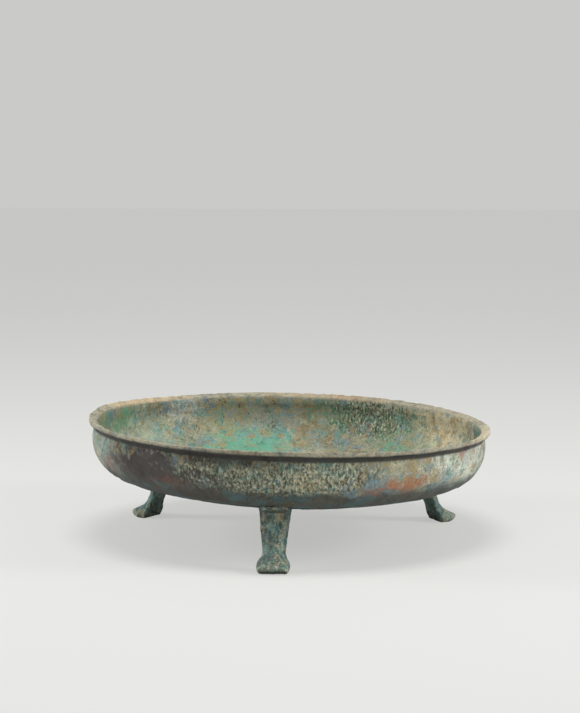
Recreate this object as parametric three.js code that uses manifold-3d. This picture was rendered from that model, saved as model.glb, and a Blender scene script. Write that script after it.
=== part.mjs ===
// Bronze tripod basin: a wide, shallow cast bowl with an everted lip, on three short splayed legs.
//
// The bowl is one casting. Six little square bronze spacers, which held the mould and the core apart
// while it was poured, stay in its base, flush with both skins. Each leg is a casting of its own: its
// root follows the underside of the bowl, and its tenon runs up through a slot in the base into a low
// button inside, which locks it. The bowl leans a little to one side, so the three legs differ in height.
//
// Millimetres, +Z up. The origin is on the ground, below the centre of the lip. One leg stands on -Y.

import * as THREE from "three";
import { mergeVertices } from "three/addons/utils/BufferGeometryUtils.js";
import Module from "manifold-3d";

const wasm = await Module();
wasm.setup();

const degree = Math.PI / 180;

// Bowl: its section is a shoulder arc and a base arc, tangent to each other
const lipHeight = 105; // centre of the lip's top above the ground
const bowlDepth = 71; // lip's top down to the lowest point of the base
const bellyRadius = 176.2;
const bellyDepth = 17.8; // lip's top down to the widest line of the belly
const shoulderRadius = 34.2;
const wall = 3;
const lean = 1.7 * degree; // the bowl stands lower on its +X side

// Lip: a flange that rises outwards from the neck and ends in a thick squared edge
const lipOverhang = 3.8; // how far the lip stands out past the belly
const lipRadius = bellyRadius + lipOverhang;
const lipWidth = 8;
const lipRise = 2.5;
const lipEdge = 4.6;
const lipCorner = 1.2;
const neckDepth = 9.4;

// Legs: straps with a flat back and a bevelled front, ending in a hoof with its toe turned up
const legCount = 3;
const firstLegAngle = -90 * degree;
const splay = 25 * degree;
const heelInset = 22.2; // back of the sole, in from the widest line of the belly
const heelRadius = bellyRadius - heelInset;
const soleLength = 10;
const soleWidth = 25;
const toeReach = 6; // how far the toe runs out past the sole
const toeHeight = 5;
const toeWidth = 28;
const ankleHeight = 15;
const ankleWidth = 19.6;
const ankleThickness = 10.4;
const rootWidth = 25.6;
const rootThickness = 12.4;
const rootFillet = 5;
const bevelFace = 0.48; // width of the front face, as a share of the back

// Joint between leg and bowl
const gap = 0.3; // seam between two castings
const tenonLength = 14;
const tenonWidth = 6;
const buttonMargin = 5; // how far the button covers the bowl around its tenon
const buttonHeight = 3;

// Spacers in the base
const spacerCount = 6;
const spacerRing = 74;
const spacerSide = 10;

// Fineness of the curved faces
const lipFacets = 84;
const baseSteps = 9;
const shoulderSteps = 11;
const legRings = 22;

const bronze = {
  bowl: new THREE.MeshStandardMaterial({ color: 0x7f8f78, roughness: 0.8, metalness: 0.3 }),
  leg: new THREE.MeshStandardMaterial({ color: 0x5f8580, roughness: 0.8, metalness: 0.3 }),
  spacer: new THREE.MeshStandardMaterial({ color: 0x8a6b4a, roughness: 0.7, metalness: 0.5 }),
};

// A closed three.js geometry as a manifold solid
function solidOf(geometry) {
  const bare = geometry.clone();
  bare.deleteAttribute("normal");
  bare.deleteAttribute("uv");
  const merged = mergeVertices(bare, 1e-4);
  return new wasm.Manifold(
    new wasm.Mesh({
      numProp: 3,
      vertProperties: merged.attributes.position.array,
      triVerts: new Uint32Array(merged.index.array),
    }),
  );
}

// A manifold solid as a three.js geometry
function geometryOf(solid) {
  const mesh = solid.getMesh();
  const geometry = new THREE.BufferGeometry();
  geometry.setAttribute("position", new THREE.BufferAttribute(mesh.vertProperties, 3));
  geometry.setIndex(new THREE.BufferAttribute(mesh.triVerts, 1));
  geometry.computeVertexNormals();
  return geometry;
}

function placed(solid, matrix) {
  return solid.transform(matrix.elements);
}

function meshOf(name, solid, material) {
  const mesh = new THREE.Mesh(geometryOf(solid), material);
  mesh.name = name;
  return mesh;
}

// Centre of the base arc, worked out so that it touches the shoulder arc and reaches the bowl's depth
const shoulderCentre = new THREE.Vector2(bellyRadius - shoulderRadius, -bellyDepth);
const bellyToBase = bowlDepth - bellyDepth;
const baseRadius =
  (shoulderCentre.x ** 2 + bellyToBase ** 2 - shoulderRadius ** 2) / (2 * (bellyToBase - shoulderRadius));
const baseCentre = new THREE.Vector2(0, baseRadius - bowlDepth);
const joinAngle = Math.atan2(shoulderCentre.x, baseCentre.y - shoulderCentre.y);

// The bowl's section from the axis out to the neck, taken in from its outer skin by inset
function bowlSection(inset) {
  const points = [];
  for (let i = 0; i <= baseSteps; i++) {
    const angle = (joinAngle * i) / baseSteps;
    const radius = baseRadius - inset;
    points.push(new THREE.Vector2(radius * Math.sin(angle), baseCentre.y - radius * Math.cos(angle)));
  }
  const radius = shoulderRadius - inset;
  const neckAngle = Math.acos(-(bellyDepth - neckDepth) / radius);
  for (let i = 1; i <= shoulderSteps; i++) {
    const angle = joinAngle + ((neckAngle - joinAngle) * i) / shoulderSteps;
    points.push(
      new THREE.Vector2(
        shoulderCentre.x + radius * Math.sin(angle),
        shoulderCentre.y - radius * Math.cos(angle),
      ),
    );
  }
  return points;
}

// The lip's section from the neck's outer skin round to the top of the bowl's inner wall
function lipSection(neckRadius) {
  const corners = 3;
  const points = [];
  const underside = new THREE.QuadraticBezierCurve(
    new THREE.Vector2(neckRadius, -neckDepth),
    new THREE.Vector2(neckRadius + (lipRadius - neckRadius) * 0.25, -lipEdge - lipCorner),
    new THREE.Vector2(lipRadius - lipCorner, -lipEdge),
  );
  points.push(...underside.getPoints(corners).slice(1));
  for (const [height, start] of [
    [-lipEdge + lipCorner, -90 * degree],
    [-lipCorner, 0],
  ]) {
    for (let i = 1; i <= corners; i++) {
      const angle = start + (90 * degree * i) / corners;
      points.push(
        new THREE.Vector2(
          lipRadius - lipCorner + lipCorner * Math.cos(angle),
          height + lipCorner * Math.sin(angle),
        ),
      );
    }
  }
  const innerRadius = lipRadius - lipWidth;
  points.push(new THREE.Vector2(innerRadius + lipCorner, -lipRise + lipCorner * 0.2));
  points.push(new THREE.Vector2(innerRadius, -lipRise - lipCorner));
  return points;
}

// A body turned about Z from a section that starts and ends on the axis
function turned(points) {
  return solidOf(new THREE.LatheGeometry(points, lipFacets).rotateX(Math.PI / 2));
}

function bowlWall() {
  const outer = bowlSection(0);
  const inner = bowlSection(wall).reverse();
  return turned([...outer, ...lipSection(outer[outer.length - 1].x), ...inner]);
}

// Everything inside a skin of the bowl, closed at the height of the lip
function filledBowl(inset) {
  const skin = bowlSection(inset);
  return turned([...skin, new THREE.Vector2(skin[skin.length - 1].x, 0), new THREE.Vector2(0, 0)]);
}

// Height of the bowl's underside at a distance from its axis, in the bowl's own frame
function undersideAt(radius) {
  return baseCentre.y - Math.sqrt(baseRadius ** 2 - radius ** 2);
}

// Where the bowl stands in the part, and where the middle of the feet lies below it
const bowlPlace = new THREE.Matrix4().makeRotationY(lean).setPosition(0, 0, lipHeight);
const feetCentre = -bowlDepth * Math.sin(lean);

// A rounded bar standing on the XY plane, its long side along Y
function standingBar(length, width, height) {
  const half = (length - width) / 2;
  const outline = new THREE.Shape();
  outline.absarc(0, half, width / 2, 0, Math.PI, false);
  outline.absarc(0, -half, width / 2, Math.PI, 2 * Math.PI, false);
  outline.closePath();
  return new THREE.ExtrudeGeometry(outline, { depth: height, bevelEnabled: false, curveSegments: 6 });
}

// Outline of a leg across its length: flat back at x = 0, bevelled front at x = thickness
function legOutline({ back, thickness, width, face }) {
  const half = width / 2;
  const front = half * face;
  const halfOutline = [
    [0, half * 0.84],
    [0.08, half],
    [0.36, half],
    [0.9, front + (half - front) * 0.12],
    [1, front * 0.86],
  ];
  const mirrored = halfOutline.map(([depth, side]) => [depth, -side]).reverse();
  return [...halfOutline, ...mirrored].map(([depth, side]) => [back + depth * thickness, side]);
}

// Stations of a leg from the sole up to past the bowl's underside, at rootHeight above the ground
function legStations(rootHeight) {
  const backAt = (height) => heelRadius - height * Math.tan(splay);
  const station = (height, front, width, face, backShift = 0) => ({
    height,
    back: backAt(height) - backShift,
    thickness: front - backAt(height) + backShift,
    width,
    face,
  });
  const soleFront = heelRadius + soleLength;
  const toeFront = soleFront + toeReach;
  const shankFront = (height, thickness) => backAt(height) + thickness;
  const neckHeight = rootHeight - 2 * rootFillet;
  const middle = (ankleHeight + neckHeight) / 2;
  const instep = (toeHeight + ankleHeight) / 2;
  return [
    station(0, soleFront, soleWidth, 0.88),
    station(toeHeight * 0.4, toeFront - toeReach * 0.4, toeWidth * 0.96, 0.9),
    station(toeHeight, toeFront, toeWidth, 0.88),
    station(toeHeight * 1.5, toeFront - toeReach * 0.25, toeWidth * 0.97, 0.82),
    station(
      instep,
      (toeFront + shankFront(ankleHeight, ankleThickness)) / 2,
      (toeWidth + ankleWidth) / 2,
      0.66,
    ),
    station(ankleHeight, shankFront(ankleHeight, ankleThickness), ankleWidth, bevelFace),
    station(middle, shankFront(middle, ankleThickness), (ankleWidth + rootWidth) / 2, bevelFace),
    station(neckHeight, shankFront(neckHeight, rootThickness), rootWidth, bevelFace),
    station(
      rootHeight - rootFillet * 0.7,
      shankFront(rootHeight, rootThickness + rootFillet * 0.6),
      rootWidth + rootFillet * 0.3,
      0.56,
      rootFillet * 0.2,
    ),
    station(
      rootHeight,
      shankFront(rootHeight, rootThickness + rootFillet * 1.6),
      rootWidth + rootFillet * 0.9,
      0.66,
      rootFillet,
    ),
    station(
      rootHeight + 2 * rootFillet,
      shankFront(rootHeight, rootThickness + rootFillet * 2.4),
      rootWidth + rootFillet * 1.6,
      0.7,
      rootFillet,
    ),
  ];
}

// A closed skin over rings of points, one ring per height, with a fan over each end
function lofted(rings) {
  const count = rings[0].length;
  const positions = rings.flat(2);
  const indices = [];
  for (let i = 0; i < rings.length - 1; i++) {
    for (let j = 0; j < count; j++) {
      const a = i * count + j;
      const b = i * count + ((j + 1) % count);
      indices.push(a, b + count, b, a, a + count, b + count);
    }
  }
  for (const [ring, start] of [
    [rings[0], 0],
    [rings[rings.length - 1], (rings.length - 1) * count],
  ]) {
    const centre = positions.length / 3;
    for (const axis of [0, 1, 2]) {
      positions.push(ring.reduce((sum, point) => sum + point[axis], 0) / count);
    }
    for (let j = 0; j < count; j++) {
      const pair = [start + j, start + ((j + 1) % count)];
      indices.push(centre, ...(start ? pair.reverse() : pair));
    }
  }
  const geometry = new THREE.BufferGeometry();
  geometry.setAttribute("position", new THREE.Float32BufferAttribute(positions, 3));
  geometry.setIndex(indices);
  return geometry;
}

// The strap itself, running up past the bowl's underside, where the bowl will trim it
function legBlank(rootHeight) {
  const stations = legStations(rootHeight);
  const keys = ["height", "back", "thickness", "width", "face"];
  const tracks = keys.map(
    (key) => new THREE.SplineCurve(stations.map((station, i) => new THREE.Vector2(i, station[key]))),
  );
  const rings = [];
  for (let i = 0; i <= legRings; i++) {
    const values = tracks.map((track) => track.getPoint(i / legRings).y);
    const station = Object.fromEntries(keys.map((key, k) => [key, values[k]]));
    rings.push(legOutline(station).map(([out, side]) => [out, side, station.height]));
  }
  return solidOf(lofted(rings));
}

// One leg in its own frame, with X pointing out from the middle of the feet
function makeLeg(place) {
  const toBowl = bowlPlace.clone().invert().multiply(place);
  const fromBowl = toBowl.clone().invert();
  const tenonRadius = heelRadius - (bowlDepth / 2) * Math.tan(splay);
  const onBowl = new THREE.Vector3(tenonRadius, 0, lipHeight - bowlDepth).applyMatrix4(toBowl);
  onBowl.z = undersideAt(Math.hypot(onBowl.x, onBowl.y));
  const root = onBowl.applyMatrix4(fromBowl);

  const strap = legBlank(root.z).subtract(placed(filledBowl(-gap), fromBowl));
  const foot = new THREE.Matrix4().makeTranslation(root.x, 0, root.z - rootFillet);
  const tenonHeight = rootFillet + wall + gap + buttonHeight / 2;
  const tenon = placed(solidOf(standingBar(tenonLength, tenonWidth, tenonHeight)), foot);
  const slot = placed(
    solidOf(standingBar(tenonLength + 2 * gap, tenonWidth + 2 * gap, tenonHeight + wall)),
    foot,
  );
  const buttonTop = new THREE.SphereGeometry(1, 20, 12)
    .rotateX(Math.PI / 2)
    .scale(tenonWidth / 2 + buttonMargin, tenonLength / 2 + buttonMargin, buttonHeight)
    .translate(root.x, 0, root.z + wall + gap);
  const button = solidOf(buttonTop).intersect(placed(filledBowl(wall + gap), fromBowl));
  return {
    leg: strap.add(tenon).add(button),
    slotInBowl: placed(slot, toBowl),
  };
}

// A square bar through the base, side mm across, upright in the bowl's frame
function spacerBar(angle, side) {
  const bar = new THREE.BoxGeometry(side, side, bowlDepth)
    .translate(spacerRing, 0, -bowlDepth)
    .rotateZ(angle);
  return solidOf(bar);
}

function buildBasin() {
  const basin = new THREE.Group();
  const bowlGroup = new THREE.Group();
  bowlGroup.applyMatrix4(bowlPlace);
  const feetGroup = new THREE.Group();
  feetGroup.position.x = feetCentre;
  basin.add(bowlGroup, feetGroup);

  const uncut = bowlWall();
  let bowl = uncut;
  const legNames = ["leg_front", "leg_right", "leg_left"];
  for (let i = 0; i < legCount; i++) {
    const turn = firstLegAngle + (2 * Math.PI * i) / legCount;
    const place = new THREE.Matrix4().makeRotationZ(turn).setPosition(feetCentre, 0, 0);
    const { leg, slotInBowl } = makeLeg(place);
    bowl = bowl.subtract(slotInBowl);
    const mesh = meshOf(legNames[i] ?? `leg_${i + 1}`, leg, bronze.leg);
    mesh.rotation.z = turn;
    feetGroup.add(mesh);
  }
  for (let i = 0; i < spacerCount; i++) {
    const angle = firstLegAngle + (2 * Math.PI * (i + 0.5)) / spacerCount;
    bowl = bowl.subtract(spacerBar(angle, spacerSide + 2 * gap));
    bowlGroup.add(meshOf(`base_spacer_${i + 1}`, uncut.intersect(spacerBar(angle, spacerSide)), bronze.spacer));
  }
  bowlGroup.add(meshOf("bowl", bowl, bronze.bowl));
  return basin;
}

const tripodBasin = buildBasin();

export default tripodBasin;
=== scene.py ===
from math import acos, atan2, copysign, cos, exp, hypot, pi, radians, sin, sqrt

import bmesh
import bpy
from mathutils import Matrix, Vector


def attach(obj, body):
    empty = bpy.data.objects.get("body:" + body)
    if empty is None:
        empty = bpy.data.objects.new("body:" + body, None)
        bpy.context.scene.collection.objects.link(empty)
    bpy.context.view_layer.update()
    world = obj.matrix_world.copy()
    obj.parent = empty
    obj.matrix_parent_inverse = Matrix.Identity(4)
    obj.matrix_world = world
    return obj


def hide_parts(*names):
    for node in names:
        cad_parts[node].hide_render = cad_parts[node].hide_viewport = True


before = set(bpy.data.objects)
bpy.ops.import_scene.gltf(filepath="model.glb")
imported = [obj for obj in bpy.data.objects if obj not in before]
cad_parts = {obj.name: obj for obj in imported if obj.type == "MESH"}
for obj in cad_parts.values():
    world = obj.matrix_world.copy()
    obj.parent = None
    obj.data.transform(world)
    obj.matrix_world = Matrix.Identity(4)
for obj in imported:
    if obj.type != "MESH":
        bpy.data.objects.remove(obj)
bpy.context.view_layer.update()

# Camera: a long lens about 1.9 m away and a little above the lip. It is turned so that the front leg
# stands left of the middle of the picture.
camera_place = Vector((0.1402, -1.9040, 0.3881))
camera_pitch = radians(83.26)
camera_turn = radians(4.2)
camera_lens = 108.3
sensor_width = 36.0

camera = bpy.data.objects.new("photo_camera", bpy.data.cameras.new("photo_camera"))
camera.data.lens = camera_lens
camera.data.sensor_width = sensor_width
camera.location = camera_place
camera.rotation_euler = (camera_pitch, 0.0, camera_turn)
bpy.context.collection.objects.link(camera)
bpy.context.scene.camera = camera

# Bowl: one bronze casting, its wall about 3 mm thick, with a lip that slopes up to a thick edge.
# It was cast upside down in a clay mould, and burial left its skin crusted, pitted and a little warped.
mm = 0.001
lip_height = 105 * mm  # centre of the lip's top above the ground
lean = radians(1.7)  # the bowl stands lower on its +X side
lip_radius = 180 * mm
lip_width = 8 * mm
lip_rise = 2.5 * mm
lip_edge = 4.6 * mm
lip_corner = 1.2 * mm
neck_depth = 9.4 * mm
bowl_depth = 71 * mm
belly_radius = 176.2 * mm
belly_depth = 17.8 * mm
shoulder_radius = 34.2 * mm
wall = 3 * mm
turns = 480

# Places where the lip is bent: direction in degrees, rise, and how far round it reaches in degrees
bends = (
    (165, 1.3 * mm, 12),
    (130, -0.9 * mm, 16),
    (65, 0.7 * mm, 25),
    (12, -1.1 * mm, 9),
    (-117, -0.7 * mm, 15),
    (-80, 0.8 * mm, 12),
)
bend_reach = 30 * mm  # how far below the lip the wall still follows a bend

# The base arc touches the shoulder arc and reaches the bowl's depth on its axis
shoulder_x = belly_radius - shoulder_radius
belly_to_base = bowl_depth - belly_depth
base_span = shoulder_x**2 + belly_to_base**2 - shoulder_radius**2
base_radius = base_span / (2 * (belly_to_base - shoulder_radius))
base_z = base_radius - bowl_depth
join_angle = atan2(shoulder_x, base_z + belly_depth)
bowl_place = Matrix.Translation((0, 0, lip_height)) @ Matrix.Rotation(lean, 4, "Y")


def bowl_skin(inset, base_steps=44, shoulder_steps=28):
    """Points (radius, height) of a skin of the bowl from its axis out to the neck."""
    points = []
    radius = base_radius - inset
    for i in range(base_steps + 1):
        angle = join_angle * i / base_steps
        points.append((radius * sin(angle), base_z - radius * cos(angle)))
    radius = shoulder_radius - inset
    neck_angle = acos(-(belly_depth - neck_depth) / radius)
    for i in range(1, shoulder_steps + 1):
        angle = join_angle + (neck_angle - join_angle) * i / shoulder_steps
        points.append((shoulder_x + radius * sin(angle), -belly_depth - radius * cos(angle)))
    return points


def bezier(start, control, end, steps):
    """Points of a quadratic curve after its start."""
    points = []
    for i in range(1, steps + 1):
        t = i / steps
        shares = ((1 - t) ** 2, 2 * t * (1 - t), t * t)
        points.append(tuple(sum(s * p for s, p in zip(shares, part)) for part in zip(start, control, end)))
    return points


def lip_skin(neck):
    """Points round the lip, from the neck's outer skin to the top of the inner wall."""
    under_steps, corner_steps, top_steps, inner_steps = 10, 5, 6, 4
    hollow = 0.25  # how far out the curve under the lip bends, as a share of its width
    corner_x = lip_radius - lip_corner
    under = (neck[0] + (lip_radius - neck[0]) * hollow, -lip_edge - lip_corner)
    points = bezier(neck, under, (corner_x, -lip_edge), under_steps)
    for height, start in ((-lip_edge + lip_corner, -pi / 2), (-lip_corner, 0.0)):
        for i in range(1, corner_steps + 1):
            angle = start + pi / 2 * i / corner_steps
            points.append((corner_x + lip_corner * cos(angle), height + lip_corner * sin(angle)))
    crease = (lip_radius - lip_width, -lip_rise)
    edge = points[-1]
    for i in range(1, top_steps):
        points.append(tuple(a + (b - a) * i / top_steps for a, b in zip(edge, crease)))
    wall_top = (crease[0] - 0.2 * mm, -lip_rise - 2 * lip_corner)
    return points + bezier(points[-1], crease, wall_top, inner_steps)


def bend_at(angle, height):
    """How far the wall is lifted or lowered at a direction and a height below the lip."""
    if height < -bend_reach:
        return 0.0
    near = 1 + height / bend_reach
    total = 0.0
    for direction, rise, reach in bends:
        apart = (angle - radians(direction) + pi) % (2 * pi) - pi
        total += rise * exp(-((apart / radians(reach)) ** 2))
    return total * near * near * (3 - 2 * near)


def object_of(name, mesh):
    """An object that shows a mesh, at the origin."""
    piece = bpy.data.objects.new(name, mesh)
    bpy.context.collection.objects.link(piece)
    return piece


def turned_bowl():
    """The bowl's mesh: its section turned about its axis, closed at both poles, leant and bent."""
    outer, inner = bowl_skin(0.0), bowl_skin(wall)
    section = outer[1:] + lip_skin(outer[-1]) + inner[:0:-1]
    mesh = bmesh.new()
    rings = []
    for radius, height in section:
        ring = []
        for k in range(turns):
            angle = 2 * pi * k / turns
            spot = Vector((radius * cos(angle), radius * sin(angle), height + bend_at(angle, height)))
            ring.append(mesh.verts.new(bowl_place @ spot))
        rings.append(ring)
    poles = [mesh.verts.new(bowl_place @ Vector((0, 0, skin[0][1]))) for skin in (outer, inner)]
    for lower, upper in zip(rings, rings[1:]):
        for k in range(turns):
            j = (k + 1) % turns
            mesh.faces.new((lower[k], lower[j], upper[j], upper[k]))
    for pole, ring in ((poles[0], rings[0]), (poles[1], rings[-1])):
        for k in range(turns):
            mesh.faces.new((pole, ring[k], ring[(k + 1) % turns]))
    bmesh.ops.recalc_face_normals(mesh, faces=mesh.faces)
    data = bpy.data.meshes.new("bowl_bronze")
    mesh.to_mesh(data)
    mesh.free()
    return data


def add(tree, kind, inputs=None, **settings):
    """Adds a node, sets it up and fills its inputs with values or with links from other nodes."""
    node = tree.nodes.new(kind)
    for name, value in settings.items():
        setattr(node, name, value)
    for key, value in (inputs or {}).items():
        if isinstance(value, bpy.types.NodeSocket):
            tree.links.new(value, node.inputs[key])
        else:
            node.inputs[key].default_value = value
    return node


def grain(size):
    """Scale of a texture whose features are as large as size, in metres."""
    return 1.0 / size


def corroded_skin():
    """Geometry Nodes: raises crust and sinks pits on any skin, and scatters nodules over it."""
    place_seed, size_seed = 11, 5
    smallest, largest = (0.35, 0.35, 0.2), (1.3, 1.1, 0.55)  # a nodule's stretch along each of its axes
    tree = bpy.data.node_groups.new("corroded_skin", "GeometryNodeTree")
    face = tree.interface
    face.new_socket("Geometry", in_out="INPUT", socket_type="NodeSocketGeometry")
    for name, value in (
        ("Crust height", 0.3 * mm),
        ("Crust size", 9 * mm),
        ("Pit depth", 0.4 * mm),
        ("Pit size", 5 * mm),
        ("Proud", 0.0),
        ("Nodules per square metre", 3000.0),
        ("Nodule size", 0.7 * mm),
    ):
        face.new_socket(name, in_out="INPUT", socket_type="NodeSocketFloat").default_value = value
    face.new_socket("Material", in_out="INPUT", socket_type="NodeSocketMaterial")
    face.new_socket("Geometry", in_out="OUTPUT", socket_type="NodeSocketGeometry")
    given = add(tree, "NodeGroupInput").outputs
    where = add(tree, "GeometryNodeInputPosition").outputs[0]

    # Crust: low rounded humps over most of the skin
    scale = add(tree, "ShaderNodeMath", {0: 1.0, 1: given["Crust size"]}, operation="DIVIDE").outputs[0]
    crust = add(
        tree,
        "ShaderNodeTexNoise",
        {"Vector": where, "Scale": scale, "Detail": 6.0, "Roughness": 0.62},
    ).outputs[0]
    crust = add(
        tree,
        "ShaderNodeMapRange",
        {"Value": crust, "From Min": 0.42, "From Max": 0.75, "To Max": given["Crust height"]},
    ).outputs[0]

    # Pits: round holes at the middles of cells, in some stretches of the skin only
    scale = add(tree, "ShaderNodeMath", {0: 1.0, 1: given["Pit size"]}, operation="DIVIDE").outputs[0]
    cell = add(tree, "ShaderNodeTexVoronoi", {"Vector": where, "Scale": scale}).outputs["Distance"]
    stretch = add(
        tree,
        "ShaderNodeTexNoise",
        {"Vector": where, "Scale": grain(26 * mm), "Detail": 2.0},
    ).outputs[0]
    rim = add(
        tree,
        "ShaderNodeMapRange",
        {"Value": stretch, "From Min": 0.48, "From Max": 0.7, "To Max": 0.34},
    ).outputs[0]
    pit = add(
        tree,
        "ShaderNodeMapRange",
        {"Value": cell, "From Max": rim, "To Min": given["Pit depth"], "To Max": 0.0},
        interpolation_type="SMOOTHSTEP",
    ).outputs[0]
    rise = add(tree, "ShaderNodeMath", {0: crust, 1: pit}, operation="SUBTRACT").outputs[0]
    rise = add(tree, "ShaderNodeMath", {0: rise, 1: given["Proud"]}, operation="ADD").outputs[0]
    normal = add(tree, "GeometryNodeInputNormal").outputs[0]
    push = add(tree, "ShaderNodeVectorMath", {0: normal, "Scale": rise}, operation="SCALE").outputs[0]
    skin = add(
        tree,
        "GeometryNodeSetPosition",
        {"Geometry": given["Geometry"], "Offset": push},
    ).outputs[0]

    # Nodules: little flattened balls of corrosion that sit on the skin
    spread = add(
        tree,
        "GeometryNodeDistributePointsOnFaces",
        {"Mesh": skin, "Density": given["Nodules per square metre"], "Seed": place_seed},
    ).outputs
    ball = add(
        tree,
        "GeometryNodeMeshIcoSphere",
        {"Radius": given["Nodule size"], "Subdivisions": 2},
    ).outputs[0]
    size = add(
        tree,
        "FunctionNodeRandomValue",
        {"Min": smallest, "Max": largest, "Seed": size_seed},
        data_type="FLOAT_VECTOR",
    ).outputs[0]
    balls = add(
        tree,
        "GeometryNodeInstanceOnPoints",
        {"Points": spread["Points"], "Instance": ball, "Rotation": spread["Rotation"], "Scale": size},
    ).outputs[0]
    both = add(tree, "GeometryNodeJoinGeometry")
    tree.links.new(skin, both.inputs[0])
    tree.links.new(balls, both.inputs[0])
    whole = add(tree, "GeometryNodeRealizeInstances", {"Geometry": both.outputs[0]}).outputs[0]

    # Nothing reaches below the ground; the other two limits lie far outside the object
    limits = (-1.0, -1.0, 0.0)
    place = add(tree, "GeometryNodeInputPosition").outputs[0]
    above = add(tree, "ShaderNodeVectorMath", {0: place, 1: limits}, operation="MAXIMUM").outputs[0]
    whole = add(tree, "GeometryNodeSetPosition", {"Geometry": whole, "Position": above}).outputs[0]
    smooth = add(tree, "GeometryNodeSetShadeSmooth", {"Geometry": whole}).outputs[0]
    painted = add(
        tree,
        "GeometryNodeSetMaterial",
        {"Geometry": smooth, "Material": given["Material"]},
    ).outputs[0]
    add(tree, "NodeGroupOutput", {0: painted})
    return tree


skin_tree = corroded_skin()


def corrode(piece, values):
    """Runs the skin tree on a piece and leaves the result as its plain mesh."""
    sockets = {
        item.name: item.identifier
        for item in skin_tree.interface.items_tree
        if item.in_out == "INPUT"
    }
    modifier = piece.modifiers.new("corroded_skin", "NODES")
    modifier.node_group = skin_tree
    for name, value in values.items():
        modifier[sockets[name]] = value
    bpy.context.view_layer.update()
    ready = piece.evaluated_get(bpy.context.evaluated_depsgraph_get())
    mesh = bpy.data.meshes.new_from_object(ready)
    piece.modifiers.remove(modifier)
    piece.data = mesh


def linear(code):
    """A linear colour from an sRGB hex value."""
    parts = [int(code[i : i + 2], 16) / 255 for i in (1, 3, 5)]
    return tuple(p / 12.92 if p <= 0.04045 else ((p + 0.055) / 1.055) ** 2.4 for p in parts) + (1.0,)


def all_of(tree, first, *others):
    """A mask that is 1 only where all of these masks are, weakened by any strength among them."""
    mask = first
    for other in others:
        mask = add(tree, "ShaderNodeMath", {0: mask, 1: other}, operation="MULTIPLY").outputs[0]
    return mask


def layer(tree, below, colour, *masks):
    """One colour laid over another where all of its masks are 1."""
    mix = add(tree, "ShaderNodeMix", {0: all_of(tree, *masks), 6: below}, data_type="RGBA")
    mix.inputs[7].default_value = linear(colour)
    return mix.outputs[2]


def cloud(tree, where, size, low, high, shift=0.0):
    """A mask of ragged spots of a real size, in metres. It grows from 0 to 1 as the noise goes from
    low to high, and shift gives each use a pattern of its own."""
    noise = add(
        tree,
        "ShaderNodeTexNoise",
        {"Vector": where, "W": shift, "Scale": grain(size), "Detail": 9.0, "Roughness": 0.7},
        noise_dimensions="4D",
    ).outputs[0]
    return add(tree, "ShaderNodeMapRange", {"Value": noise, "From Min": low, "From Max": high}).outputs[0]


def patch(tree, where, centre, reach, strength):
    """A mask round one place, wider than it is high. A strong one is whole and a weak one breaks up."""
    squat = (1.0, 1.0, 1.7)
    raggedness = 3.2
    edge_start, edge_end = 2.15, 2.75  # noise is about a half, so this is 0.55 to 1.15 of the reach
    weakest = strength**4
    flat = add(tree, "ShaderNodeVectorMath", {0: where, 1: squat}, operation="MULTIPLY").outputs[0]
    middle = tuple(a * b for a, b in zip(centre, squat))
    away = add(tree, "ShaderNodeVectorMath", {0: flat, 1: middle}, operation="DISTANCE").outputs["Value"]
    share = add(tree, "ShaderNodeMath", {0: away, 1: reach}, operation="DIVIDE").outputs[0]
    ragged = add(
        tree,
        "ShaderNodeTexNoise",
        {"Vector": where, "Scale": grain(9 * mm), "Detail": 9.0, "Roughness": 0.75},
    ).outputs[0]
    jitter = add(
        tree,
        "ShaderNodeMath",
        {0: ragged, 1: raggedness, 2: share},
        operation="MULTIPLY_ADD",
    ).outputs[0]
    whole = add(
        tree,
        "ShaderNodeMapRange",
        {"Value": jitter, "From Min": edge_start, "From Max": edge_end, "To Min": strength, "To Max": 0.0},
    ).outputs[0]
    broken = add(
        tree,
        "ShaderNodeMapRange",
        {"Value": ragged, "From Min": 0.4, "From Max": 0.56, "To Min": 1.0, "To Max": weakest},
    ).outputs[0]
    return all_of(tree, whole, broken)


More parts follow.
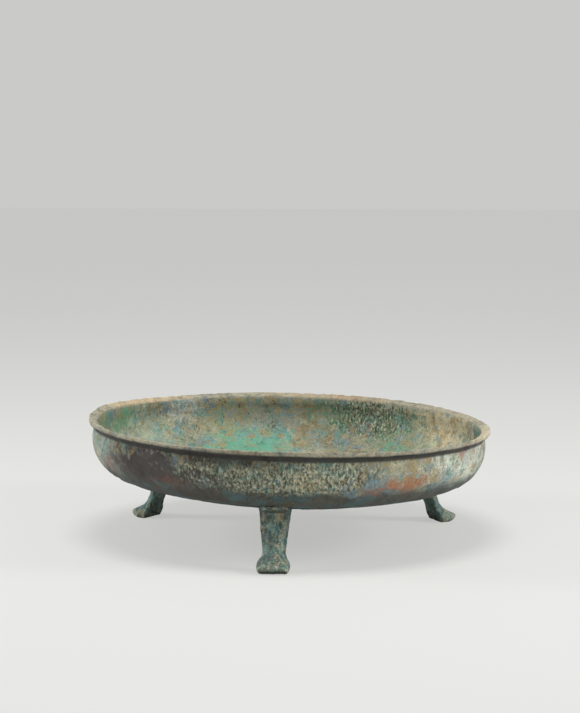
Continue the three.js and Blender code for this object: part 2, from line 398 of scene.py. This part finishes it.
def patina(
    name,
    ground,
    clouds,
    patches,
    details=(),
    crusted=(),
    smooth=(),
    outer_patches=(),
    thin_crust=0.5,
    rough=0.78,
):
    """Buried cast bronze: a mineral skin of malachite, azurite, cuprite and soil hides the metal. The
    eye sees a dull, grainy surface in broken greens, tans and blues, pitted dark where crust has grown."""
    small = 12 * mm  # clouds up to this size lie over the patches, the others under them
    small_strength = 0.8
    cloud_shift = 3.7
    material = bpy.data.materials.new(name)
    material.use_nodes = True
    tree = material.node_tree
    tree.nodes.clear()
    where = add(tree, "ShaderNodeTexCoord").outputs["Object"]
    colour = linear(ground)
    for k, (code, size, low, high) in enumerate(clouds):
        if size > small:
            colour = layer(tree, colour, code, cloud(tree, where, size, low, high, cloud_shift * k))
    for code, centre, reach, strength in patches:
        colour = layer(tree, colour, code, patch(tree, where, centre, reach, strength))
    for k, (code, size, low, high) in enumerate(clouds):
        if size <= small:
            spots = cloud(tree, where, size, low, high, cloud_shift * k)
            colour = layer(tree, colour, code, spots, small_strength)

    # The outer patches lie only where the surface faces away from the bowl's axis
    level = (1.0, 1.0, 0.0)
    facing = add(tree, "ShaderNodeNewGeometry").outputs["Normal"]
    across = add(tree, "ShaderNodeVectorMath", {0: where, 1: level}, operation="MULTIPLY").outputs[0]
    outward = add(
        tree,
        "ShaderNodeVectorMath",
        {0: facing, 1: across},
        operation="DOT_PRODUCT",
    ).outputs["Value"]
    outside = add(tree, "ShaderNodeMapRange", {"Value": outward, "From Max": 10 * mm}).outputs[0]
    for code, centre, reach, strength in outer_patches:
        colour = layer(tree, colour, code, patch(tree, where, centre, reach, strength), outside)

    # Crust lies in grains about 2 mm wide, a little longer down the sides, pale on its tops and dark
    # in its pits, with specks of malachite
    thick = all_of(tree, cloud(tree, where, 26 * mm, 0.42, 0.62, 8.1), thin_crust)
    for centre, reach in crusted:
        more = patch(tree, where, centre, reach, 1.0)
        thick = add(tree, "ShaderNodeMath", {0: thick, 1: more}, operation="MAXIMUM").outputs[0]
    for centre, reach in smooth:
        bare = patch(tree, where, centre, reach, 0.95)
        rest = add(tree, "ShaderNodeMath", {0: 1.0, 1: bare}, operation="SUBTRACT").outputs[0]
        thick = all_of(tree, thick, rest)
    streaks = add(tree, "ShaderNodeMapping", {"Vector": where, "Scale": (1.0, 1.0, 0.6)}).outputs[0]
    tops = cloud(tree, streaks, 2.2 * mm, 0.47, 0.58, 1.3)
    colour = layer(tree, colour, "#c3c3a6", tops, thick, 0.72)
    pits = all_of(tree, cloud(tree, streaks, 2 * mm, 0.48, 0.57, 5.9), thick)
    colour = layer(tree, colour, "#1c211b", pits, 0.86)
    specks = cloud(tree, streaks, 1.8 * mm, 0.56, 0.62, 7.1)
    colour = layer(tree, colour, "#4f9078", specks, thick, 0.7)

    # Round holes, 1 to 2 mm across, in some stretches
    cell = add(tree, "ShaderNodeTexVoronoi", {"Vector": where, "Scale": grain(7 * mm)}).outputs["Distance"]
    holes = add(
        tree,
        "ShaderNodeMapRange",
        {"Value": cell, "From Min": 0.07, "From Max": 0.16, "To Min": 0.9, "To Max": 0.0},
    ).outputs[0]
    holes = all_of(tree, holes, cloud(tree, where, 28 * mm, 0.5, 0.56, 6.4))
    colour = layer(tree, colour, "#1b1f1a", holes)
    # Details may add painted shade, such as the shadow under the lip and the shade on whatever faces down
    for detail in details:
        colour = detail(tree, where, colour)

    # Mineral grit of about 1 mm, drawn coarser than it is so that it shows
    grit = cloud(tree, where, 1 * mm, 0.38, 0.68, 4.4)
    shade = add(tree, "ShaderNodeMapRange", {"Value": grit, "To Min": 0.55, "To Max": 1.4}).outputs[0]
    colour = add(tree, "ShaderNodeVectorMath", {0: colour, "Scale": shade}, operation="SCALE").outputs[0]

    # Fine relief, lowest in the pits and the holes
    coarse = add(
        tree,
        "ShaderNodeTexNoise",
        {"Vector": streaks, "Scale": grain(2.4 * mm), "Detail": 8.0, "Roughness": 0.75},
    ).outputs[0]
    depth = add(tree, "ShaderNodeMath", {0: pits, 1: -0.8, 2: coarse}, operation="MULTIPLY_ADD").outputs[0]
    depth = add(tree, "ShaderNodeMath", {0: holes, 1: -1.0, 2: depth}, operation="MULTIPLY_ADD").outputs[0]
    relief = add(tree, "ShaderNodeBump", {"Height": depth, "Strength": 0.8, "Distance": 0.8 * mm})
    shine = cloud(tree, where, 22 * mm, 0.35, 0.65, 9.2)
    shine = add(
        tree,
        "ShaderNodeMapRange",
        {"Value": shine, "To Min": rough - 0.2, "To Max": rough + 0.12},
    ).outputs[0]
    shader = add(
        tree,
        "ShaderNodeBsdfPrincipled",
        {"Base Color": colour, "Roughness": shine, "Normal": relief.outputs[0], "Metallic": 0.0},
    )
    add(tree, "ShaderNodeOutputMaterial", {"Surface": shader.outputs[0]})
    return material


def on_bowl(direction, radius, height):
    """A place on the bowl by its direction in degrees, its distance from the axis and its height, in mm."""
    return (radius * mm * cos(radians(direction)), radius * mm * sin(radians(direction)), height * mm)


def band(tree, where, low, high, beyond, blur):
    """A mask round the bowl between two heights below its lip, outside a distance from its axis."""
    skin_blur = 0.5 * mm
    own = add(
        tree,
        "ShaderNodeMapping",
        {
            "Vector": where,
            "Rotation": (0.0, -lean, 0.0),
            "Location": (lip_height * sin(lean), 0.0, -lip_height * cos(lean)),
        },
    ).outputs[0]
    height = add(tree, "ShaderNodeSeparateXYZ", {0: own}).outputs["Z"]
    flat = add(tree, "ShaderNodeVectorMath", {0: own, 1: (1.0, 1.0, 0.0)}, operation="MULTIPLY").outputs[0]
    radius = add(tree, "ShaderNodeVectorMath", {0: flat}, operation="LENGTH").outputs["Value"]
    over = add(
        tree,
        "ShaderNodeMapRange",
        {"Value": height, "From Min": low - blur, "From Max": low + blur},
    ).outputs[0]
    under = add(
        tree,
        "ShaderNodeMapRange",
        {"Value": height, "From Min": high - blur, "From Max": high + blur, "To Min": 1.0, "To Max": 0.0},
    ).outputs[0]
    out = add(
        tree,
        "ShaderNodeMapRange",
        {"Value": radius, "From Min": beyond - skin_blur, "From Max": beyond + skin_blur},
    ).outputs[0]
    return all_of(tree, over, under, out)


def painted_shadow_under_lip(tree, where, colour):
    """Painted shadow under the lip: dark colour in the groove between lip and belly, widest at the front
    left.
    """
    groove_top = -lip_edge + 1 * mm
    outer_skin = belly_radius - 2.4 * mm
    # painted shadow: a narrow dark band right under the lip, and a wider, softer one down the belly at the
    # front left
    thin = band(tree, where, -neck_depth + 0.4 * mm, groove_top, outer_skin, 0.9 * mm)
    colour = layer(tree, colour, "#191712", thin, 0.92)
    wide = band(tree, where, -neck_depth - 6 * mm, groove_top, outer_skin, 3.5 * mm)
    front_left = patch(tree, where, on_bowl(-108, 176, 94), 54 * mm, 1.0)
    return layer(tree, colour, "#211d18", wide, front_left, 0.75)


# Where handling rubbed the lip: tan at the back left, cream at the right, brown-grey at the back
rubbed_places = (
    ("#b9a17c", on_bowl(150, 178, 106), 62 * mm),
    ("#bdb194", on_bowl(-6, 180, 100), 52 * mm),
    ("#a08a6c", on_bowl(80, 178, 104), 60 * mm),
)


def rubbed_lip(tree, where, colour):
    """The lip's top and edge, grey and rubbed pale by handling, with corrosion left in its hollows."""
    above_lip = 5 * mm
    mask = band(tree, where, -lip_edge + 0.6 * mm, above_lip, lip_radius - lip_width, 0.7 * mm)
    broken = cloud(tree, where, 7 * mm, 0.44, 0.52, 7.7)
    colour = layer(tree, colour, "#6c6759", mask, 0.7)
    colour = layer(tree, colour, "#a9a288", mask, 0.55, broken)
    for code, centre, reach in rubbed_places:
        colour = layer(tree, colour, code, mask, patch(tree, where, centre, reach, 0.85))
    return colour


def painted_underside_shade(tree, where, colour):
    """Painted shade on whatever faces down: dark brown, with spots of teal patina over it."""
    start, full = -0.44, -0.66  # how far the surface's normal points down where this starts and is full
    normal = add(tree, "ShaderNodeNewGeometry").outputs["Normal"]
    down = add(tree, "ShaderNodeSeparateXYZ", {0: normal}).outputs["Z"]
    mask = add(tree, "ShaderNodeMapRange", {"Value": down, "From Min": start, "From Max": full}).outputs[0]
    # painted shade in dark brown on downward faces, then teal patina in spots
    colour = layer(tree, colour, "#38352c", mask, 0.88)
    return layer(tree, colour, "#3b595b", mask, 0.75, cloud(tree, where, 16 * mm, 0.5, 0.58, 6.1))


# Minerals all over the bowl: colour, size of the spots, and where in the noise they start and are full
bowl_clouds = (
    ("#9a9276", 30 * mm, 0.48, 0.56),
    ("#6f6345", 22 * mm, 0.5, 0.56),
    ("#547a71", 18 * mm, 0.52, 0.57),
    ("#5b7280", 24 * mm, 0.54, 0.58),
    ("#8f7c54", 11 * mm, 0.54, 0.58),
    ("#44765f", 8 * mm, 0.57, 0.61),
    ("#66828a", 9 * mm, 0.57, 0.61),
    ("#3b3d31", 8 * mm, 0.59, 0.64),
    ("#7f5138", 8 * mm, 0.65, 0.68),
)

# Where crust has grown thick, and where there is hardly any: place and reach
crusted_places = (
    (on_bowl(-112, 175, 86), 30 * mm),
    (on_bowl(-100, 173, 78), 42 * mm),
    (on_bowl(-88, 172, 74), 44 * mm),
    (on_bowl(-72, 171, 74), 44 * mm),
    (on_bowl(66, 170, 88), 44 * mm),
)
smooth_places = (
    (on_bowl(-132, 172, 80), 56 * mm),
    (on_bowl(-112, 160, 60), 40 * mm),
    (on_bowl(-60, 166, 64), 30 * mm),
    (on_bowl(110, 152, 57), 34 * mm),
)

# Patches of one mineral: colour, place, reach and strength. The first ten are meant for the belly, the
# next twelve for the inside and the last two for the lip, and each reaches through the thin wall
bowl_patches = (
    ("#a9aca0", on_bowl(-162, 174, 90), 46 * mm, 0.75),
    ("#6f5650", on_bowl(-150, 172, 76), 16 * mm, 0.7),
    ("#9c9f83", on_bowl(-98, 171, 74), 40 * mm, 0.75),
    ("#a3a488", on_bowl(-78, 170, 70), 44 * mm, 0.8),
    ("#a98e66", on_bowl(-80, 174, 78), 16 * mm, 0.6),
    ("#4d7083", on_bowl(-60, 168, 66), 34 * mm, 0.85),
    ("#bdb69c", on_bowl(-48, 175, 84), 34 * mm, 0.7),
    ("#d3d5c5", on_bowl(-24, 175, 84), 50 * mm, 0.85),
    ("#5d7d92", on_bowl(-36, 166, 64), 24 * mm, 0.8),
    ("#4f8584", on_bowl(-24, 176, 93), 16 * mm, 0.6),
    ("#569c80", on_bowl(110, 152, 57), 42 * mm, 0.95),
    ("#4d9068", on_bowl(158, 172, 96), 22 * mm, 0.85),
    ("#4d9068", on_bowl(172, 172, 92), 26 * mm, 0.75),
    ("#5f7784", on_bowl(100, 171, 87), 30 * mm, 0.75),
    ("#93a08a", on_bowl(146, 166, 76), 40 * mm, 0.8),
    ("#b5b2a2", on_bowl(130, 172, 94), 20 * mm, 0.85),
    ("#867a52", on_bowl(112, 172, 92), 44 * mm, 0.7),
    ("#7d7450", on_bowl(70, 171, 90), 56 * mm, 0.75),
    ("#2f7453", on_bowl(76, 170, 84), 26 * mm, 0.75),
    ("#2f7453", on_bowl(58, 168, 76), 34 * mm, 0.7),
    ("#cdbb95", on_bowl(34, 171, 86), 52 * mm, 0.9),
    ("#5f9476", on_bowl(50, 158, 62), 34 * mm, 0.6),
    ("#7f3f28", on_bowl(-97, 180, 103), 14 * mm, 0.9),
    ("#7f3f28", on_bowl(-26, 180, 98), 26 * mm, 0.8),
)

# On the belly alone: a bare dark brown stretch at the left, and rust at the right
dark_and_rusty_places = (
    ("#2e2621", on_bowl(-130, 172, 76), 58 * mm, 1.0),
    ("#2e2824", on_bowl(-112, 164, 62), 50 * mm, 0.97),
    ("#5e3a2d", on_bowl(-122, 165, 68), 20 * mm, 0.8),
    ("#6b5350", on_bowl(-150, 172, 78), 17 * mm, 0.8),
    ("#965c36", on_bowl(-62, 167, 66), 11 * mm, 0.97),
    ("#965c36", on_bowl(-56, 171, 73), 10 * mm, 0.95),
    ("#965c36", on_bowl(-49, 171, 72), 14 * mm, 0.97),
)
# the bowl's patina, with painted shadow under the lip and painted shade on whatever faces down
bowl_patina_and_painted_shade = patina(
    "buried_cast_bronze_green_tan_patina_and_painted_shade",
    "#7b7c68",
    bowl_clouds,
    bowl_patches,
    details=(painted_underside_shade, rubbed_lip, painted_shadow_under_lip),
    crusted=crusted_places,
    smooth=smooth_places,
    outer_patches=dark_and_rusty_places,
    thin_crust=0.45,
)

bowl = object_of("bowl_casting", turned_bowl())
corrode(
    bowl,
    {
        "Crust height": 0.45 * mm,
        "Crust size": 11 * mm,
        "Pit depth": 0.5 * mm,
        "Pit size": 6 * mm,
        "Proud": -0.15 * mm,
        "Nodules per square metre": 350.0,
        "Nodule size": 0.7 * mm,
        "Material": bowl_patina_and_painted_shade,
    },
)
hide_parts("bowl")
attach(bowl, "root")

# Legs: three separate bronze castings with a flat back, bevelled front and upturned toe. Each one's
# root lies against the base, and its tenon ends inside the bowl in a low button that locks it.
leg_voxel = 0.7 * mm
leg_worn_passes = 3
root_reach = 5 * mm  # how far from the wall's middle the metal is drawn towards it
root_closing = 0.9 * mm


def copied(node, name, voxel, passes):
    """A finer, slightly worn copy of a CAD solid."""
    piece = object_of(name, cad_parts[node].data.copy())
    mesh = bmesh.new()
    mesh.from_mesh(piece.data)
    mesh.transform(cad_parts[node].matrix_world)
    bmesh.ops.remove_doubles(mesh, verts=mesh.verts, dist=0.01 * mm)
    mesh.to_mesh(piece.data)
    mesh.free()
    remesh = piece.modifiers.new("finer", "REMESH")
    remesh.mode = "VOXEL"
    remesh.voxel_size = voxel
    worn = piece.modifiers.new("worn", "SMOOTH")
    worn.iterations = passes
    bpy.context.view_layer.update()
    ready = piece.evaluated_get(bpy.context.evaluated_depsgraph_get())
    finer = bpy.data.meshes.new_from_object(ready)
    piece.modifiers.clear()
    piece.data = finer
    return piece


def seated(piece):
    """Draws a leg's root and its button tight against the bowl's wall, as a casting poured on to it is."""
    to_bowl = bowl_place.inverted()
    for vertex in piece.data.vertices:
        spot = to_bowl @ vertex.co
        radius = hypot(spot.x, spot.y)
        middle = base_z - sqrt((base_radius - wall / 2) ** 2 - radius**2)
        away = spot.z - middle
        if abs(away) < root_reach:
            near = 1 - abs(away) / root_reach
            beside = min(1, abs(away) / wall * 2)  # nothing in the wall's middle, full from its skins on
            spot.z -= copysign(root_closing * near * beside, away)
            vertex.co = bowl_place @ spot


def on_leg(x, y, z):
    """A place on a leg, from millimetres."""
    return (x * mm, y * mm, z * mm)


leg_clouds = (
    ("#6f8f86", 14 * mm, 0.48, 0.56),
    ("#31565c", 12 * mm, 0.48, 0.55),
    ("#a89f80", 8 * mm, 0.54, 0.58),
    ("#3a3829", 7 * mm, 0.53, 0.58),
    ("#9a6b3e", 6 * mm, 0.6, 0.63),
)

# Cream toes, painted shadow of the bowl on the roots, and on the front leg painted shade on the left bevel
# beside a painted highlight on the front
leg_patches_and_painted_light = {
    "leg_front": (
        ("#cfc29c", on_leg(-2, -165, 4), 15 * mm, 0.8),
        ("#b08550", on_leg(3, -148, 45), 6 * mm, 0.9),
        # painted shadow of the bowl on the root
        ("#35291f", on_leg(-2, -140, 56), 17 * mm, 0.97),
        # the next two: painted shade on the left bevel
        ("#1f3338", on_leg(-16, -142, 46), 14 * mm, 0.95),
        ("#233c40", on_leg(-15, -148, 28), 13 * mm, 0.95),
        # painted highlight on the front face
        ("#8db0a6", on_leg(1, -157, 30), 9 * mm, 0.85),
        ("#c9bea6", on_leg(9, -152, 34), 7 * mm, 0.8),
    ),
    "leg_right": (
        ("#d2c8a6", on_leg(141, 83, 4), 15 * mm, 0.8),
        ("#4f8a63", on_leg(130, 76, 24), 16 * mm, 0.7),
        # painted shadow of the bowl on the root
        ("#3b3a30", on_leg(122, 71, 42), 14 * mm, 0.7),
    ),
    "leg_left": (
        ("#cdd2b8", on_leg(-145, 83, 4), 15 * mm, 0.8),
        ("#66a6a0", on_leg(-136, 77, 24), 16 * mm, 0.7),
        # painted shadow of the bowl on the root
        ("#3b3a30", on_leg(-126, 71, 48), 14 * mm, 0.7),
    ),
}
for node, patches in leg_patches_and_painted_light.items():
    leg = copied(node, node + "_casting", leg_voxel, leg_worn_passes)
    seated(leg)
    leg_patina_and_painted_light = patina(
        "buried_cast_bronze_blue_green_" + node,
        "#4c7672",
        leg_clouds,
        patches,
        details=(painted_underside_shade,),
        thin_crust=0.75,
        rough=0.72,
    )
    corrode(
        leg,
        {
            "Crust height": 0.4 * mm,
            "Crust size": 6 * mm,
            "Pit depth": 0.3 * mm,
            "Pit size": 4 * mm,
            "Proud": 0.05 * mm,
            "Nodules per square metre": 9000.0,
            "Nodule size": 0.6 * mm,
            "Material": leg_patina_and_painted_light,
        },
    )
    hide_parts(node)
    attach(leg, "root")

# Spacers: six little square plates of scrap bronze that held the mould and its core apart. The pour
# locked them in, and they stand out faintly on both skins of the base, browner than what is round them.
spacer_voxel = 0.6 * mm
spacer_worn_passes = 1
spacer_clouds = (
    ("#6f7f5f", 6 * mm, 0.48, 0.62),
    ("#4a3a2a", 4 * mm, 0.5, 0.64),
)
spacer_patina = patina("scrap_bronze_brown_patina", "#7d6648", spacer_clouds, (), rough=0.66)
for node in sorted(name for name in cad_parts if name.startswith("base_spacer")):
    spacer = copied(node, node + "_plate", spacer_voxel, spacer_worn_passes)
    corrode(
        spacer,
        {
            "Crust height": 0.15 * mm,
            "Crust size": 3 * mm,
            "Pit depth": 0.15 * mm,
            "Pit size": 3 * mm,
            "Proud": 0.5 * mm,
            "Nodules per square metre": 0.0,
            "Material": spacer_patina,
        },
    )
    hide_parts(node)
    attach(spacer, "root")

# Studio: a plain pale floor that the feet stand on, under a pale sky that lights from all round, with
# three soft lamps. The camera sees an even grey sky, and a nearly even floor that keeps a soft shadow.
floor_side = 12.0
floor_glow = 0.7  # how much of the floor's own grey the camera sees in place of its light and shade
sky_strength = 0.5
lamp_target = Vector((0, 0, 0.06))

floor_mesh = bmesh.new()
bmesh.ops.create_grid(floor_mesh, x_segments=1, y_segments=1, size=floor_side / 2)
floor_data = bpy.data.meshes.new("floor")
floor_mesh.to_mesh(floor_data)
floor_mesh.free()
floor = object_of("floor", floor_data)
pale_grey = linear("#d6d6d3")
paper = bpy.data.materials.new("matt_backdrop_paper")
paper.use_nodes = True
sheet = paper.node_tree
sheet.nodes.clear()
matt = add(sheet, "ShaderNodeBsdfPrincipled", {"Base Color": pale_grey, "Roughness": 0.9}).outputs[0]
glow = add(sheet, "ShaderNodeEmission", {"Color": pale_grey, "Strength": 1.0}).outputs[0]
eye = all_of(sheet, add(sheet, "ShaderNodeLightPath").outputs["Is Camera Ray"], floor_glow)
surface = add(sheet, "ShaderNodeMixShader", {0: eye, 1: matt, 2: glow}).outputs[0]
add(sheet, "ShaderNodeOutputMaterial", {"Surface": surface})
floor_data.materials.append(paper)

world = bpy.data.worlds.new("soft_studio")
world.use_nodes = True
sky = world.node_tree
sky.nodes.clear()
rays = add(sky, "ShaderNodeLightPath").outputs
seen = rays["Is Camera Ray"]
for kind in ("Is Glossy Ray", "Is Transmission Ray"):
    seen = add(sky, "ShaderNodeMath", {0: seen, 1: rays[kind]}, operation="MAXIMUM").outputs[0]
lit = add(sky, "ShaderNodeBackground", {"Color": linear("#eef1f4"), "Strength": sky_strength}).outputs[0]
shown = add(sky, "ShaderNodeBackground", {"Color": linear("#cacac8"), "Strength": 1.0}).outputs[0]
mixed = add(sky, "ShaderNodeMixShader", {0: seen, 1: lit, 2: shown}).outputs[0]
add(sky, "ShaderNodeOutputWorld", {"Surface": mixed})
bpy.context.scene.world = world

# Each lamp: its name, its place and width in metres, and its power in watts
for name, place, width, power in (
    ("left_softbox", (-1.4, -0.1, 0.7), 0.5, 13.0),
    ("right_softbox", (1.4, -0.25, 0.7), 0.5, 16.0),
    ("top_softbox", (0.0, -0.35, 1.7), 0.7, 24.0),
):
    lamp = bpy.data.objects.new(name, bpy.data.lights.new(name, "AREA"))
    lamp.data.shape = "DISK"
    lamp.data.size = width
    lamp.data.energy = power
    lamp.location = place
    lamp.rotation_euler = (lamp_target - Vector(place)).to_track_quat("-Z", "Y").to_euler()
    bpy.context.collection.objects.link(lamp)

bpy.context.scene.view_settings.view_transform = "Standard"
